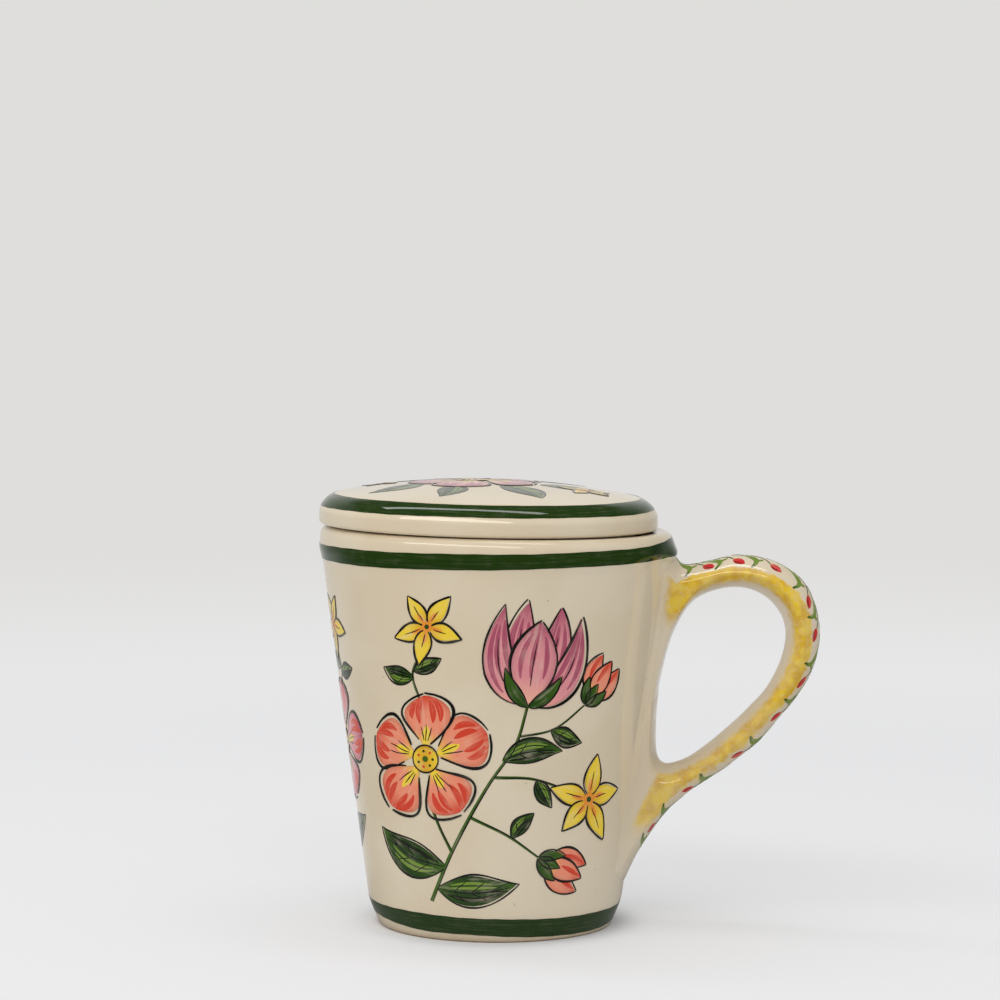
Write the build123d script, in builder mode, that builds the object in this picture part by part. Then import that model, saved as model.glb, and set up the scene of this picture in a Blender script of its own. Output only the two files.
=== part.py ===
"""A lidded pottery mug with a strainer inside: cup, handle, strainer and lid.

Millimetres, +Z up. The origin is the centre of the foot, on the surface that the mug
stands on, and the handle points along +X.
"""
import os
from math import atan2, sqrt, tan

from build123d import *

# Cup: overall sizes
mug_height = 99.2
rim_diameter = 89.0
neck_diameter = 86.6
heel_diameter = 63.4
foot_diameter = 58.4
heel_height = 6.2

# Cup: walls, foot and lip
wall_thickness = 4.8
floor_thickness = 6.0
floor_round = 7.0
foot_ring_width = 4.4
foot_recess_depth = 2.0
foot_round = 0.6
heel_round = 12.0
lip_height = 5.2
lip_thickness = 4.0
lip_round = 2.6
lip_blend = 4.0
lip_blend_room_share = 0.9
neck_depth = 8.6
neck_blend = 6.0

# Cup: the ledge inside the mouth that carries the strainer
ledge_depth = 9.0
ledge_width = 2.6
ledge_round = 0.8

# Handle
handle_reach = 40.3
handle_width = 14.0
handle_thickness = 8.9
handle_tail_height = 10.5
handle_drop = 7.9
handle_crest_rise = 1.7
handle_bury = 4.0
finger_hole_low_share = 0.361
back_round_share = 0.38
palm_round_share = 0.21

# Strainer
flange_thickness = 3.0
flange_clearance = 0.5
flange_round = 0.8
basket_gap = 2.8
basket_depth = 52.0
basket_wall = 3.0
basket_floor = 3.4
basket_round = 4.0
hole_diameter = 3.0
hole_row_step = 9.0
hole_rows = 4
holes_in_row = 16
floor_hole_step = 7.6
floor_hole_rings = 3
holes_per_floor_ring = 6

# Lid
lid_diameter = 84.6
lid_edge_height = 4.8
lid_bevel_height = 2.8
lid_bevel_width = 3.3
lid_dome_rise = 4.3
lid_thickness = 5.0
lid_edge_round = 1.1
lid_bevel_round = 2.2
lid_ring_depth = 5.0
lid_ring_thickness = 4.0
lid_ring_play = 2.6
lid_ring_round = 1.0
lid_shift_share = 0.8

# Cuts run this far past the material
overrun = 2.0

# Places worked out from the sizes
rim_radius = rim_diameter / 2
neck_radius = neck_diameter / 2
heel_radius = heel_diameter / 2
foot_radius = foot_diameter / 2
recess_radius = foot_radius - foot_ring_width
shoulder_height = mug_height - lip_height
neck_height = mug_height - neck_depth
# The lip's thickness is measured where the cup is narrower, at the rim or at the neck
mouth_radius = min(rim_radius, neck_radius) - lip_thickness
ledge_height = mug_height - ledge_depth
ledge_radius = mouth_radius - ledge_width
floor_top = foot_recess_depth + floor_thickness
lid_radius = lid_diameter / 2
lid_ring_radius = mouth_radius - lid_ring_play
lid_shift = -lid_shift_share * lid_ring_play


def outer_radius_at(height):
    """Radius of the cup's tapered outer wall at a height."""
    share = (height - heel_height) / (neck_height - heel_height)
    return heel_radius + share * (neck_radius - heel_radius)


floor_radius = outer_radius_at(floor_top) - wall_thickness

# The flare bends upright within the height that the lip's own rounding leaves
flare_turn = atan2(abs(rim_radius - neck_radius), shoulder_height - neck_height)
lip_bend_room = lip_blend_room_share * (lip_height - lip_round)
lip_bend = min(lip_blend, lip_bend_room / tan(flare_turn / 2))


def inner_radius_at(height):
    """Radius of the cup's tapered inner wall at a height below the ledge."""
    share = (height - floor_top) / (ledge_height - floor_top)
    return floor_radius + share * (ledge_radius - floor_radius)


def round_corner(sketch, across, up, radius):
    """Rounds the corner of a profile that lies nearest to a point of its plane."""
    fillet(sketch.vertices().sort_by_distance((across, up, 0))[0], radius=radius)


# Cup: one turned profile, foot, heel, wall, flared rim, ledge and inside
with BuildPart() as mug_body:
    with BuildSketch(Plane.XZ) as profile:
        with BuildLine():
            Polyline(
                (0, foot_recess_depth),
                (recess_radius, foot_recess_depth),
                (recess_radius, 0),
                (foot_radius, 0),
                (heel_radius, heel_height),
                (neck_radius, neck_height),
                (rim_radius, shoulder_height),
                (rim_radius, mug_height),
                (mouth_radius, mug_height),
                (mouth_radius, ledge_height),
                (ledge_radius, ledge_height),
                (floor_radius, floor_top),
                (0, floor_top),
                close=True,
            )
        make_face()
        round_corner(profile, recess_radius, 0, foot_round)
        round_corner(profile, foot_radius, 0, foot_round)
        round_corner(profile, heel_radius, heel_height, heel_round)
        round_corner(profile, neck_radius, neck_height, neck_blend)
        round_corner(profile, rim_radius, shoulder_height, lip_bend)
        round_corner(profile, rim_radius, mug_height, lip_round)
        round_corner(profile, mouth_radius, mug_height, lip_round / 2)
        round_corner(profile, ledge_radius, ledge_height, ledge_round)
        round_corner(profile, floor_radius, floor_top, floor_round)
    revolve(axis=Axis.Z)
mug_body.part.label = "mug_body"

# Handle: its outline seen from the side, in shares of its reach out from the wall and
# of its height. The outer line runs from the upper root over the crest to the tail.
handle_low = handle_tail_height
handle_high = mug_height - handle_drop
handle_outer_shares = (
    (0.083, 0.984),
    (0.215, 0.993),
    (0.395, 1.0),
    (0.595, 0.989),
    (0.820, 0.926),
    (0.954, 0.838),
    (1.0, 0.761),
    (0.984, 0.665),
    (0.908, 0.580),
    (0.710, 0.436),
    (0.509, 0.345),
    (0.328, 0.279),
    (0.176, 0.199),
    (0.084, 0.108),
    (0.030, 0.040),
)
# The finger hole, in shares of its own reach and height, going round from its top
hole_reach = handle_reach - handle_thickness
hole_low = handle_low + finger_hole_low_share * (handle_high - handle_low)
hole_high = handle_high + handle_crest_rise - handle_thickness
finger_hole_shares = (
    (0.531, 1.0),
    (0.783, 0.960),
    (0.973, 0.818),
    (1.0, 0.698),
    (0.975, 0.575),
    (0.845, 0.392),
    (0.609, 0.202),
    (0.382, 0.054),
    (0.195, 0.0),
    (0.097, 0.074),
    (0.070, 0.243),
    (0.051, 0.540),
    (0.099, 0.723),
    (0.202, 0.917),
    (0.345, 0.982),
)


def beside_wall(out, height):
    """A point of the handle's side view, a distance out from the cup's wall."""
    return (outer_radius_at(height) + out, height)


outer_line = [
    beside_wall(out * handle_reach, handle_low + up * (handle_high + handle_crest_rise - handle_low))
    for out, up in handle_outer_shares
]
hole_line = [
    beside_wall(out * hole_reach, hole_low + up * (hole_high - hole_low))
    for out, up in finger_hole_shares
]
upper_root = beside_wall(-handle_bury, handle_high)
lower_root = beside_wall(-handle_bury, handle_low)

with BuildPart() as handle:
    with BuildSketch(Plane.XZ):
        with BuildLine():
            Spline(upper_root, *outer_line, lower_root)
            Line(lower_root, upper_root)
        make_face()
        with BuildLine():
            Spline(*hole_line, periodic=True)
        make_face(mode=Mode.SUBTRACT)
    extrude(amount=handle_width / 2, both=True)
    rims = handle.edges().filter_by(GeomType.BSPLINE)
    palm_edges = rims.filter_by(lambda edge: edge.is_closed)
    back_edges = rims.filter_by(lambda edge: not edge.is_closed)
    fillet(palm_edges, radius=palm_round_share * handle_thickness)
    fillet(back_edges, radius=back_round_share * handle_thickness)
    with BuildSketch(Plane.XZ):
        with BuildLine():
            Polyline(
                (0, 0),
                (foot_radius, 0),
                (heel_radius, heel_height),
                (neck_radius, neck_height),
                (rim_radius, shoulder_height),
                (rim_radius, mug_height),
                (0, mug_height),
                close=True,
            )
        make_face()
    revolve(axis=Axis.Z, mode=Mode.SUBTRACT)
handle.part.label = "handle"

# Strainer: a flange on the ledge and a tapered basket with rows of holes
basket_bottom = ledge_height - basket_depth
flange_top = ledge_height + flange_thickness
flange_radius = mouth_radius - flange_clearance
basket_top_radius = ledge_radius - basket_gap
basket_low_radius = inner_radius_at(basket_bottom) - basket_gap
hole_radius = hole_diameter / 2
first_row = basket_bottom + basket_floor + hole_row_step

with BuildPart() as infuser:
    with BuildSketch(Plane.XZ) as profile:
        with BuildLine():
            Polyline(
                (0, basket_bottom),
                (basket_low_radius, basket_bottom),
                (basket_top_radius, ledge_height),
                (flange_radius, ledge_height),
                (flange_radius, flange_top),
                (basket_top_radius - basket_wall, flange_top),
                (basket_low_radius - basket_wall, basket_bottom + basket_floor),
                (0, basket_bottom + basket_floor),
                close=True,
            )
        make_face()
        round_corner(profile, basket_low_radius, basket_bottom, basket_round)
        round_corner(profile, flange_radius, flange_top, flange_round)
        round_corner(profile, flange_radius, ledge_height, flange_round)
        round_corner(profile, basket_top_radius - basket_wall, flange_top, flange_round)
    revolve(axis=Axis.Z)
    for row in range(hole_rows):
        with Locations((0, 0, first_row + row * hole_row_step)):
            with PolarLocations(basket_top_radius, holes_in_row, start_angle=row % 2 * 180 / holes_in_row):
                Cylinder(
                    hole_radius,
                    basket_top_radius,
                    rotation=(0, 90, 0),
                    mode=Mode.SUBTRACT,
                )
    with Locations((0, 0, basket_bottom + basket_floor / 2)):
        Cylinder(hole_radius, basket_floor + overrun, mode=Mode.SUBTRACT)
        for ring in range(1, floor_hole_rings):
            with PolarLocations(ring * floor_hole_step, ring * holes_per_floor_ring):
                Cylinder(hole_radius, basket_floor + overrun, mode=Mode.SUBTRACT)
infuser.part.label = "infuser"

# Lid: a low dome with a bevelled shoulder, a flat seat and a ring that drops into the
# mouth. It lies a little off centre, as far as the ring's play allows.
lid_edge_top = mug_height + lid_edge_height
lid_bevel_top = lid_edge_top + lid_bevel_height
lid_top = lid_bevel_top + lid_dome_rise
dome_radius = lid_radius - lid_bevel_width
ring_inside = lid_ring_radius - lid_ring_thickness
dome_sphere = (dome_radius**2 + lid_dome_rise**2) / (2 * lid_dome_rise)
ceiling_sphere = dome_sphere - lid_thickness
sphere_centre = lid_top - dome_sphere


def sphere_height(sphere, radius):
    """Height of a sphere about the dome's centre, at a distance from the lid's axis."""
    return sphere_centre + sqrt(sphere**2 - radius**2)


lid_plane = Plane(origin=(lid_shift, 0, 0), x_dir=(1, 0, 0), z_dir=(0, -1, 0))
ceiling_edge = sphere_height(ceiling_sphere, ring_inside)
ceiling_top = sphere_height(ceiling_sphere, 0)

with BuildPart() as lid:
    with BuildSketch(lid_plane) as profile:
        with BuildLine():
            ThreePointArc(
                (0, lid_top),
                (dome_radius / 2, sphere_height(dome_sphere, dome_radius / 2)),
                (dome_radius, lid_bevel_top),
            )
            Polyline(
                (dome_radius, lid_bevel_top),
                (lid_radius, lid_edge_top),
                (lid_radius, mug_height),
                (lid_ring_radius, mug_height),
                (lid_ring_radius, mug_height - lid_ring_depth),
                (ring_inside, mug_height - lid_ring_depth),
                (ring_inside, ceiling_edge),
            )
            ThreePointArc(
                (ring_inside, ceiling_edge),
                (ring_inside / 2, sphere_height(ceiling_sphere, ring_inside / 2)),
                (0, ceiling_top),
            )
            Line((0, ceiling_top), (0, lid_top))
        make_face()
        round_corner(profile, dome_radius, lid_bevel_top, lid_bevel_round)
        round_corner(profile, lid_radius, lid_edge_top, lid_bevel_round)
        round_corner(profile, lid_radius, mug_height, lid_edge_round)
        round_corner(profile, lid_ring_radius, mug_height - lid_ring_depth, lid_ring_round)
        round_corner(profile, ring_inside, mug_height - lid_ring_depth, lid_ring_round)
    revolve(axis=Axis((lid_shift, 0, 0), (0, 0, 1)))
lid.part.label = "lid"

os.makedirs("parts", exist_ok=True)
for piece in (mug_body, handle, infuser, lid):
    export_step(piece.part, f"parts/{piece.part.label}.step")
    print(piece.part.label, round(piece.part.volume), piece.part.bounding_box())
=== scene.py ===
"""Looks of a lidded pottery mug: glazed cup, handle, strainer and lid, painted with a brush.

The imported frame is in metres. Shapes are worked out in millimetres in the same frame, with the
handle along +X, and become metres where a mesh is made.
"""
import random
from collections import namedtuple
from math import acos, atan2, cos, inf, pi, radians, sin, sqrt

import bpy
import numpy as np
from mathutils import Matrix, Vector


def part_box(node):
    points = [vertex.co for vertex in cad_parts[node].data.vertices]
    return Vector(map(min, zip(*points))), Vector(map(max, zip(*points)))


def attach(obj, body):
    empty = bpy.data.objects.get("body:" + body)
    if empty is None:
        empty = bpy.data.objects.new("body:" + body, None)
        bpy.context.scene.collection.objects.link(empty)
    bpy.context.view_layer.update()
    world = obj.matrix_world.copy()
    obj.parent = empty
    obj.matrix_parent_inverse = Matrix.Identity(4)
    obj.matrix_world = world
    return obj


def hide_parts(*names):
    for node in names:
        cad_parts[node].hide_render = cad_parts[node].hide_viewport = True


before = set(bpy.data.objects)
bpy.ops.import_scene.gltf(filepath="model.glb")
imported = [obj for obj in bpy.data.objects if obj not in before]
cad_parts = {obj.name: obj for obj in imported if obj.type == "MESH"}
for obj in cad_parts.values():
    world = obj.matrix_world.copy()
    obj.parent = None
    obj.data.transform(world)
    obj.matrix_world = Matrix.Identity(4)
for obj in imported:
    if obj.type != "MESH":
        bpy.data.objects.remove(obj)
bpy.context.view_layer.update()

MM = 0.001
TINY = 1e-9

# Cup and lid: outer sizes read from the frame, less the room that paint and unevenness take
paint_room = 0.3
rim_room = 0.25
cup_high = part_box("mug_body")[1] / MM
lid_low, lid_high = (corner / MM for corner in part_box("lid"))
cup_height = cup_high.z
rim_radius = cup_high.x - rim_room
lid_radius = (lid_high.x - lid_low.x) / 2
lid_centre = (lid_high.x + lid_low.x) / 2
lid_top = lid_high.z - paint_room

# Cup: its profile
wall_thickness = 4.8
foot_radius = 29.2
foot_ring_width = 4.4
foot_recess = 2.0
foot_round = 0.6
heel_radius = 31.7
heel_height = 6.2
heel_round = 12.0
neck_radius = 43.3
neck_depth = 8.6
neck_blend = 6.0
lip_height = 5.2
lip_blend = 3.0
lip_inset = 0.4
lip_round = 2.6
mouth_radius = 39.3
ledge_depth = 9.0
ledge_width = 2.6
ledge_round = 0.8
floor_height = 8.0
floor_round = 7.0
inner_corner_round = 0.4

# Lid: its profile
lid_edge_height = 3.7
lid_edge_bend = 2.2
lid_shoulder_height = 1.7
lid_shoulder_inset = 0.75
lid_shoulder_round = 7.0
lid_bevel_height = 2.3
lid_bevel_width = 3.1
lid_bevel_round = 6.4
lid_thickness = 5.0
lid_edge_round = 0.8
lid_seat_gap = 0.3
lid_seat_width = 1.4
lid_ring_thickness = 4.0
lid_ring_play = 2.6
lid_ring_round = 1.0

# Handle: its half width, the flare at the wall, and how far out it wraps round the cup
handle_half_width = 6.6
handle_flare = 5.4
handle_wrap = (2.0, 12.0)

# Handle: its rounded back and palm side, each with a depth, the most that it may take of the
# section's thickness, and the powers of its curve
Rounding = namedtuple("Rounding", "depth most_share power blunt")
handle_crown = Rounding(4.2, 0.48, 1.4, 0.6)
handle_palm = Rounding(4.5, 0.5, 1.45, 0.8)
handle_rings = 320
round_points = 12
flat_points = 4
side_limit = 0.999

# Turned meshes
turn_segments = 288
profile_step = 1.4
normal_reach = 0.25
rim_lean = 0.0175
lean_blend = 7.0
sharp_angle = radians(50)

# Unevenness of the cup's outside, fading in above the foot and out below the lip. Each wave is
# a count round, a size, a phase and the height over which the phase moves on by 1.
sway_size = 0.11
sway_fade_in = 14.0
sway_fade_out = (16.0, 5.0)
sway_waves = ((2, 1.0, 0.6, inf), (3, 0.6, -1.1, 23.0), (5, 0.35, 2.0, -17.0))

# Swelling of the wall at the handle's upper root: its size, half turns and heights
root_swell = 1.1
root_turns = (0.06, 0.3)
root_rise = (84.0, 90.0)
root_fall = (92.5, 98.0)

# Glaze: how far it thins and browns beside an edge, and where the clay under the foot is bare.
# At the lid's seat and the foot, the browner glaze and the dark bare clay are also painted shade.
edge_reach = 1.6
edge_wear_and_shade = 0.7
foot_edge = 0.8
bare_heights = (0.05, 0.6)
bare_margin = 1.0

# Camera: where the photograph was taken from
view_turn = radians(5.0)
camera_aside = 0.77
camera_distance = 822.0
camera_height = 160.3
camera_pitch = radians(3.79)
camera_roll = radians(0.26)
camera_lens = 118.8
camera_sensor = 36.0
camera_clip = (0.02, 20.0)
front_angle = view_turn - pi / 2

# Paint: heights above the glaze, a little more for each layer painted over another
wash_lift = 0.04
shade_lift = 0.048
line_lift = 0.055
layer_lift = 0.022
paint_sink = 0.25
stroke_apart = 7.3
glaze_ior = 1.56


def colour(red, green, blue):
    """Linear colour of an sRGB triple from 0 to 255."""
    shares = [value / 255 for value in (red, green, blue)]
    return [s / 12.92 if s <= 0.04045 else ((s + 0.055) / 1.055) ** 2.4 for s in shares]


cream = colour(212, 198, 173)
pale_cream = colour(217, 205, 183)
thin_cream_and_shade = colour(196, 176, 144)
bisque = colour(166, 138, 104)
# Dark brown of the bare clay, partly painted contact shadow under the foot
clay_brown_and_contact_shade = colour(124, 96, 66)
speck_brown = colour(134, 108, 78)
band_green = colour(29, 53, 9)
band_dark = colour(16, 33, 5)
leaf_dark = colour(34, 64, 18)
leaf_mid = colour(60, 94, 26)
leaf_light = colour(112, 138, 52)
coral = colour(205, 66, 46)
salmon = colour(230, 140, 112)
blush = colour(236, 176, 152)
pink = colour(214, 138, 146)
mauve = colour(166, 82, 104)
yellow = colour(232, 202, 62)
ochre = colour(212, 158, 34)
orange = colour(226, 140, 50)
sponge_yellow = colour(224, 190, 50)
sponge_ochre = colour(206, 162, 30)
ink = colour(16, 16, 15)
berry_red = colour(198, 44, 46)
berry_dark = colour(142, 30, 40)


def ease(low, high, value):
    """Smooth step from 0 at low to 1 at high."""
    share = np.clip((value - low) / (high - low), 0, 1)
    return share * share * (3 - 2 * share)


def half_turn(angle):
    """The same angle, brought between minus and plus half a turn."""
    return (angle + pi) % (2 * pi) - pi


def blended(first, second, shares):
    """Colours on the way from one to another."""
    shares = shares[:, None]
    return np.array(first) * (1 - shares) + np.array(second) * shares


def bow(start, bend, end, shares):
    """Points of a bent line at shares of its way."""
    shares = np.asarray(shares)[:, None]
    start, bend, end = (np.asarray(p, float) for p in (start, bend, end))
    return (1 - shares) ** 2 * start + 2 * shares * (1 - shares) * bend + shares**2 * end


def lengths_along(points):
    """Distance along a line at each of its points."""
    steps = np.linalg.norm(np.diff(points, axis=0), axis=1)
    return np.concatenate(([0.0], np.cumsum(steps)))


def columns_at(wanted, places, table):
    """Rows of a table between its own, at places along it."""
    return np.stack([np.interp(wanted, places, column) for column in table.T], axis=-1)


def sideways_of(line):
    """Unit vectors to the left of a flat line at each of its points."""
    along = np.gradient(line, axis=0)
    along = along / (np.linalg.norm(along, axis=1, keepdims=True) + TINY)
    return np.stack((-along[:, 1], along[:, 0]), axis=1)


def ring_faces(low, high, count):
    """Faces between two closed rings of points, each given by its first point."""
    pairs = ((a, (a + 1) % count) for a in range(count))
    return [(low + a, high + a, high + b, low + b) for a, b in pairs]


def smooth_line(points, count, places=None):
    """Points of a smooth line through the given ones, spread evenly over its places."""
    points = np.asarray(points, float)
    places = lengths_along(points) if places is None else places
    slopes = np.gradient(points, places, axis=0)
    wanted = np.linspace(places[0], places[-1], count)
    index = np.clip(np.searchsorted(places, wanted, side="right") - 1, 0, len(places) - 2)
    span = (places[index + 1] - places[index])[:, None]
    t = (wanted - places[index])[:, None] / span
    start, end = points[index], points[index + 1]
    leave, arrive = slopes[index] * span, slopes[index + 1] * span
    return (
        (2 * t**3 - 3 * t**2 + 1) * start
        + (t**3 - 2 * t**2 + t) * leave
        + (3 * t**2 - 2 * t**3) * end
        + (t**3 - t**2) * arrive
    )


def resampled(points, step):
    """The same line with points about a step apart."""
    points = np.asarray(points, float)
    places = lengths_along(points)
    count = max(4, int(round(places[-1] / step)) + 1)
    return columns_at(np.linspace(0, places[-1], count), places, points)


# Turned shapes


def rounded(corners, arc_steps=9):
    """Points of a profile given as corners of radius, height and rounding."""
    points = []
    for index, (across, up, rounding) in enumerate(corners):
        corner = np.array((across, up), float)
        if not rounding:
            points.append(corner)
            continue
        before = np.array(corners[index - 1][:2]) - corner
        after = np.array(corners[index + 1][:2]) - corner
        before = before / np.linalg.norm(before)
        after = after / np.linalg.norm(after)
        half = acos(np.clip(before @ after, -1, 1)) / 2
        middle = before + after
        centre = corner + middle / np.linalg.norm(middle) * rounding / sin(half)
        ends = [
            corner + way * rounding * cos(half) / sin(half) - centre for way in (before, after)
        ]
        first, last = (atan2(end[1], end[0]) for end in ends)
        sweep = half_turn(last - first)
        for step in range(arc_steps + 1):
            angle = first + sweep * step / arc_steps
            points.append(centre + rounding * np.array((cos(angle), sin(angle))))
    return np.array(points)


def subdivided(points, step):
    """The profile with its long straight stretches cut into steps."""
    made = [points[0]]
    for start, end in zip(points, points[1:]):
        cuts = max(1, int(np.ceil(np.linalg.norm(end - start) / step)))
        made.extend(start + (end - start) * cut / cuts for cut in range(1, cuts + 1))
    return np.array(made)


class Turned:
    """A surface turned from a profile about an upright axis, uneven and leaning above a height."""

    def __init__(self, corners, centre=0.0, sway=0.0, swell=0.0, lean_from=0.0):
        profile = subdivided(rounded(corners), profile_step)
        self.radius, self.height = profile.T
        self.along = lengths_along(profile)
        self.centre = centre
        self.sway, self.swell = sway, swell
        self.lean_from = lean_from
        self.start = np.flatnonzero(self.height <= self.height.min() + TINY)[-1]
        self.end = int(np.argmax(self.height))

    def along_at_height(self, height):
        """Distance along the profile to a height of the outside."""
        outside = slice(self.start, self.end + 1)
        return np.interp(height, self.height[outside], self.along[outside])

    def along_at_radius(self, radius):
        """Distance along the profile to a radius of the top."""
        widest = int(np.argmax(self.radius)) + 1
        return np.interp(radius, self.radius[widest:][::-1], self.along[widest:][::-1])

    def unevenness(self, along, height, angle):
        """How far the hand-finished outside stands off the true round."""
        start, end = self.along[self.start], self.along[self.end]
        fade_start, fade_end = sway_fade_out
        outside = ease(start, start + sway_fade_in, along)
        outside = outside * (1 - ease(end - fade_start, end - fade_end, along))
        waves = sum(
            size * np.sin(count * angle + phase + height / climb)
            for count, size, phase, climb in sway_waves
        )
        root = (1 - ease(*root_turns, np.abs(half_turn(angle)))) * ease(*root_rise, height)
        root = root * (1 - ease(*root_fall, height))
        return self.sway * outside * waves + self.swell * root * (along < end)

    def at(self, along, angle):
        """Points and outward normals at distances along the profile and angles about the axis."""
        radius = np.interp(along, self.along, self.radius)
        height = np.interp(along, self.along, self.height)
        rise, widen = (
            np.interp(along + normal_reach, self.along, column)
            - np.interp(along - normal_reach, self.along, column)
            for column in (self.height, self.radius)
        )
        size = np.hypot(rise, widen) + TINY
        radius = radius + self.unevenness(along, height, angle)
        x, y = self.centre + radius * np.cos(angle), radius * np.sin(angle)
        height = height - rim_lean * x * ease(self.lean_from, self.lean_from + lean_blend, height)
        across, up = rise / size, -widen / size
        points = np.stack((x, y, height), axis=-1)
        normals = np.stack((across * np.cos(angle), across * np.sin(angle), up), axis=-1)
        return points, normals

    def mesh(self):
        """Points and faces of the whole surface, and the profile's index of each point."""
        angles = np.arange(turn_segments) * 2 * pi / turn_segments
        points, rings, rows = [], [], []
        for index, along in enumerate(self.along):
            count = 1 if self.radius[index] < TINY else turn_segments
            ring, _ = self.at(np.full(count, along), angles[:count])
            rings.append(range(len(points), len(points) + count))
            points.extend(ring)
            rows.extend([index] * count)
        faces = []
        for low, high in zip(rings, rings[1:]):
            for a in range(turn_segments):
                b = (a + 1) % turn_segments
                if len(low) == 1:
                    faces.append((low[0], high[b], high[a]))
                elif len(high) == 1:
                    faces.append((low[a], low[b], high[0]))
                else:
                    faces.append((low[a], low[b], high[b], high[a]))
        return points, faces, rows


def wall_radius(height):
    """Radius of the cup's tapered outer wall at a height."""
    share = (height - heel_height) / (neck_height - heel_height)
    return heel_radius + share * (neck_radius - heel_radius)


neck_height = cup_height - neck_depth
ledge_height = cup_height - ledge_depth
recess_radius = foot_radius - foot_ring_width
cup_surface = Turned(
    (
        (0, foot_recess, 0),
        (recess_radius, foot_recess, inner_corner_round),
        (recess_radius, 0, foot_round),
        (foot_radius, 0, foot_round),
        (heel_radius, heel_height, heel_round),
        (neck_radius, neck_height, neck_blend),
        (rim_radius, cup_height - lip_height, lip_blend),
        (rim_radius - lip_inset, cup_height, lip_round),
        (mouth_radius, cup_height, lip_round / 2),
        (mouth_radius, ledge_height, inner_corner_round),
        (mouth_radius - ledge_width, ledge_height, ledge_round),
        (wall_radius(floor_height) - wall_thickness, floor_height, floor_round),
        (0, floor_height, 0),
    ),
    sway=sway_size,
    swell=root_swell,
    lean_from=ledge_height,
)


def lid_corners():
    """Corners of the lid's profile, from the middle of its ceiling round to its top."""
    edge_top = cup_height + lid_edge_height
    shoulder_top = edge_top + lid_shoulder_height
    bevel_top = shoulder_top + lid_bevel_height
    dome_radius = lid_radius - lid_bevel_width
    dome_rise = lid_top - bevel_top
    dome_sphere = (dome_radius**2 + dome_rise**2) / (2 * dome_rise)
    ring_radius = mouth_radius - lid_ring_play
    ring_inside = ring_radius - lid_ring_thickness
    arc_shares = np.linspace(0, 1, 15)

    def on_sphere(sphere, radius):
        return (radius, lid_top - dome_sphere + sqrt(sphere**2 - radius**2), 0)

    ceiling = [on_sphere(dome_sphere - lid_thickness, ring_inside * share) for share in arc_shares]
    dome = [on_sphere(dome_sphere, dome_radius * share) for share in arc_shares[:-1][::-1]]
    return (
        *ceiling,
        (ring_inside, lid_low.z, lid_ring_round),
        (ring_radius, lid_low.z, lid_ring_round),
        (ring_radius, cup_height, inner_corner_round),
        (ring_radius + lid_seat_width, cup_height, 0),
        (ring_radius + lid_seat_width + lid_seat_gap, cup_height + lid_seat_gap, 0),
        (lid_radius, cup_height + lid_seat_gap, lid_edge_round),
        (lid_radius, edge_top, lid_edge_bend),
        (lid_radius - lid_shoulder_inset, shoulder_top, lid_shoulder_round),
        (dome_radius, bevel_top, lid_bevel_round),
        *dome,
    )


lid_surface = Turned(lid_corners(), lid_centre)

# Handle: pairs of an outer and an inner point from the upper root to the tail, each as a
# distance out from the cup's wall and a height
handle_pairs = (
    ((-2.0, 95.0), (-3.0, 40.0)),
    ((1.1, 92.4), (1.2, 50.0)),
    ((3.4, 90.4), (1.9, 63.0)),
    ((6.5, 90.6), (3.6, 74.0)),
    ((10.5, 91.5), (7.2, 81.2)),
    ((15.9, 92.8), (13.5, 84.3)),
    ((22.3, 92.3), (19.3, 84.6)),
    ((28.8, 90.0), (24.2, 82.9)),
    ((34.2, 85.9), (27.9, 79.9)),
    ((37.8, 79.9), (30.3, 76.3)),
    ((39.7, 73.1), (31.3, 71.9)),
    ((39.6, 67.1), (30.9, 67.0)),
    ((38.3, 61.9), (29.6, 62.6)),
    ((35.8, 57.0), (28.0, 59.2)),
    ((32.1, 51.4), (25.6, 56.0)),
    ((28.6, 46.5), (22.8, 52.6)),
    ((24.3, 42.3), (19.1, 48.7)),
    ((20.5, 39.0), (15.4, 45.2)),
    ((16.6, 36.2), (12.0, 42.5)),
    ((12.0, 32.4), (8.9, 41.0)),
    ((8.2, 28.4), (6.2, 40.5)),
    ((5.0, 23.0), (4.2, 41.8)),
    ((2.6, 18.0), (3.2, 44.7)),
    ((1.0, 13.5), (2.2, 52.0)),
    ((-0.2, 10.6), (1.2, 62.0)),
    ((-3.0, 9.6), (-3.0, 70.0)),
)


def handle_sections():
    """Outer and inner points of the handle's sections, closely spaced."""
    pairs = np.array(handle_pairs).reshape(len(handle_pairs), 4)
    places = (lengths_along(pairs[:, :2]) + lengths_along(pairs[:, 2:])) / 2
    sections = smooth_line(pairs, handle_rings, places)
    return sections[:, :2], sections[:, 2:]


outer_points, inner_points = handle_sections()
outer_lengths = lengths_along(outer_points + np.outer(wall_radius(outer_points[:, 1]), (1, 0)))


def round_depth(rounding, thickness):
    """Depth of a rounded side in a section of a thickness."""
    return np.minimum(rounding.depth, rounding.most_share * thickness)


def round_drop(rounding, share, depth):
    """How far a rounded side lies from its middle line at a share of the half width."""
    return depth * (1 - (1 - share ** (1 / rounding.blunt)) ** (1 / rounding.power))


def handle_width_at(out):
    """Half width of the handle, flared where it meets the wall."""
    near = np.clip(1 - out / handle_flare, 0, 1)
    return handle_half_width + handle_flare * (1 - np.sqrt(1 - near**2))


def handle_point(outer, inner, drop, share):
    """A point of a section, by its drop from the crest and its share of the half width."""
    thickness = np.linalg.norm(inner - outer, axis=-1)
    place = outer + (inner - outer) * (drop / thickness)[..., None]
    out, height = place[..., 0], place[..., 1]
    aside = share * handle_width_at(out)
    radius = wall_radius(height) + out
    wrap = 1 - ease(*handle_wrap, out)
    angle = aside / radius
    x = radius * (1 + wrap * (np.cos(angle) - 1))
    y = aside * (1 - wrap) + wrap * radius * np.sin(angle)
    return np.stack((x, y, height), axis=-1)


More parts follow.
